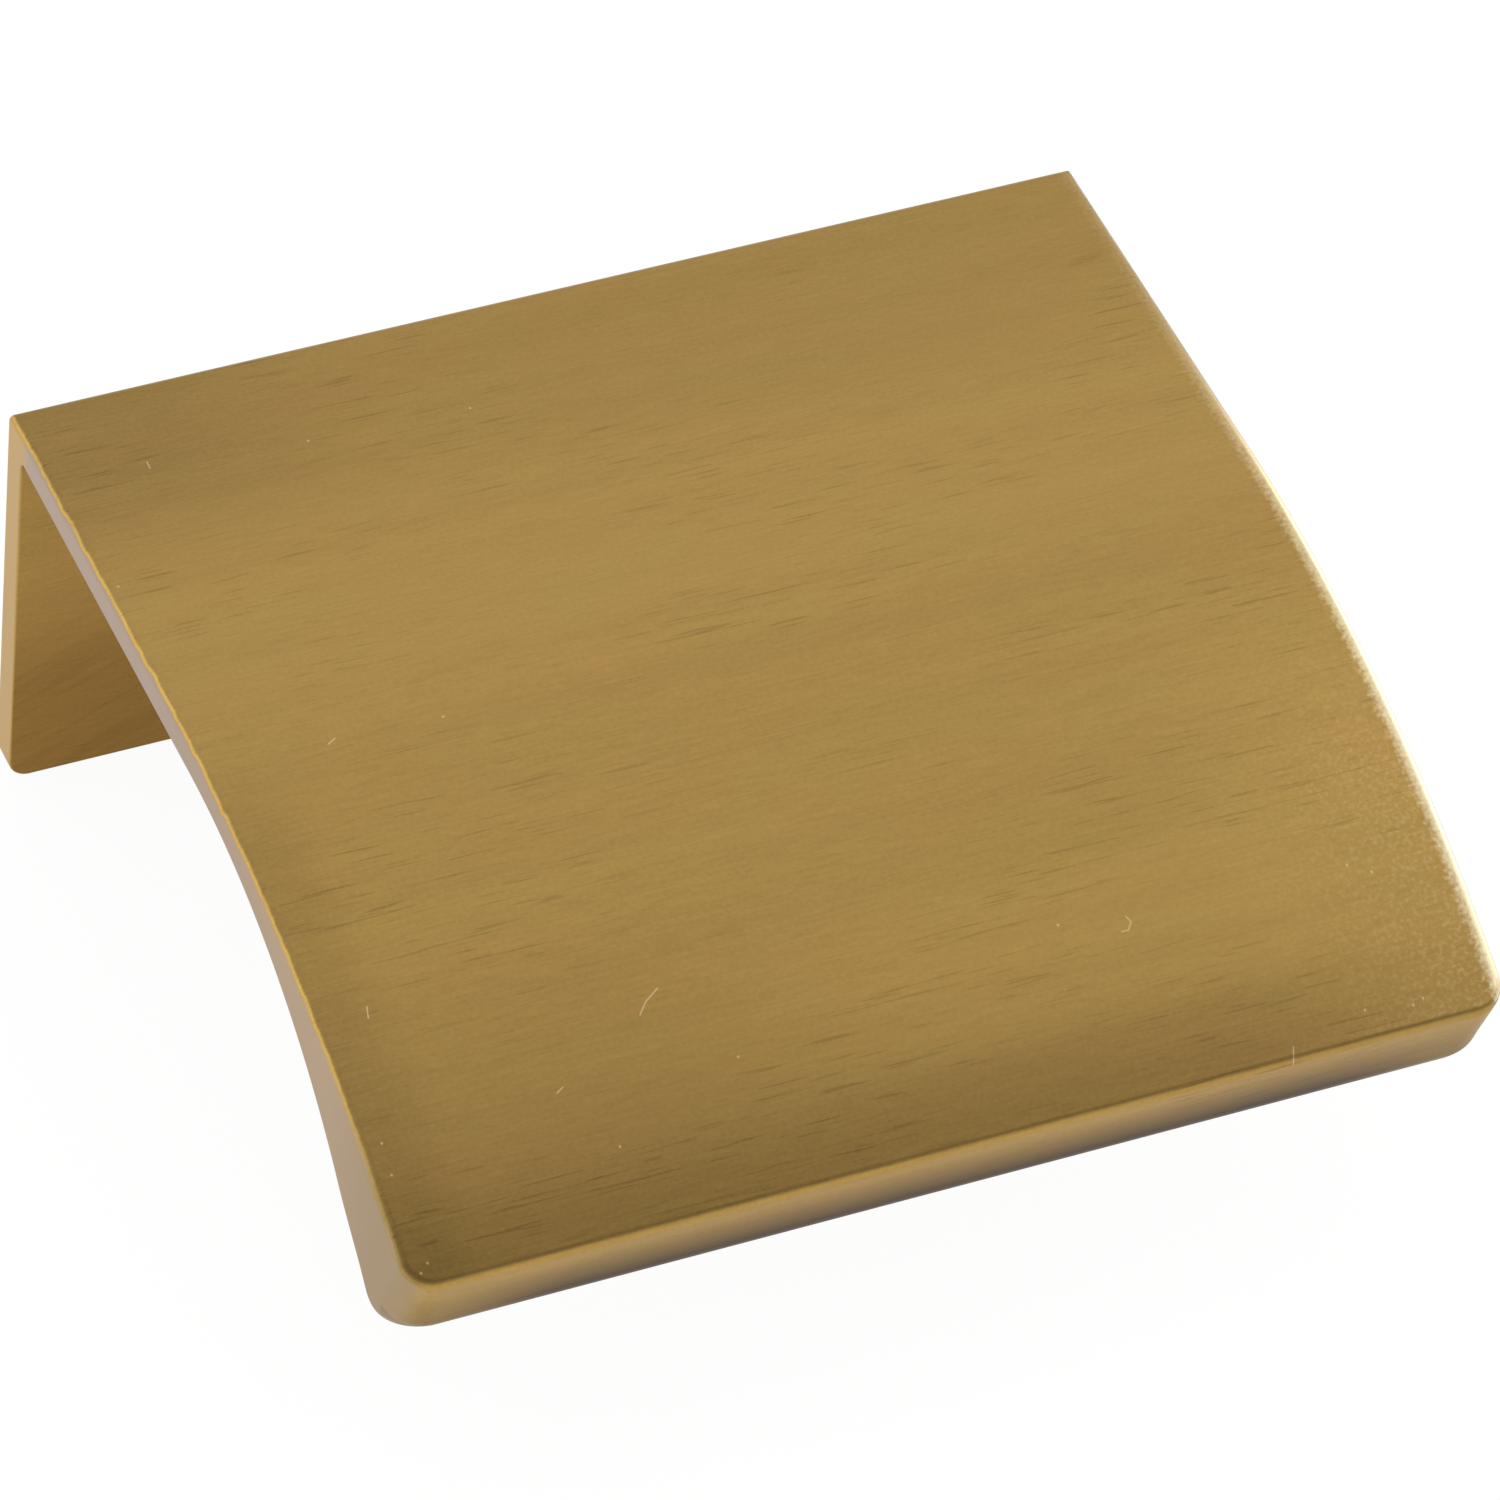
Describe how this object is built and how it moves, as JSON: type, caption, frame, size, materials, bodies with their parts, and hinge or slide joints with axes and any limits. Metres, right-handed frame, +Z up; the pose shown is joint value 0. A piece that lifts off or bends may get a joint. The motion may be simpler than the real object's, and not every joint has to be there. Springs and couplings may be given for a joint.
{
  "type": "tab pull",
  "caption": "Edge-mounted tab pull: thin screwed leg, flat land over the door's edge, and an arched finger tab with a thick rounded lip.",
  "frame": {"origin": "midway between the two screw holes, on the leg's door face", "axes": "+X along the pull, -Y towards the front of the door or drawer, where the lip is, +Z up out of the door's top edge"},
  "size_m": [0.0508, 0.0476, 0.021],
  "materials": {
    "brushed_brass_tone": "brushed along its length, satin brass tone"
  },
  "bodies": {
    "root": {"tab_pull": "brushed_brass_tone"}
  },
  "joints": []
}
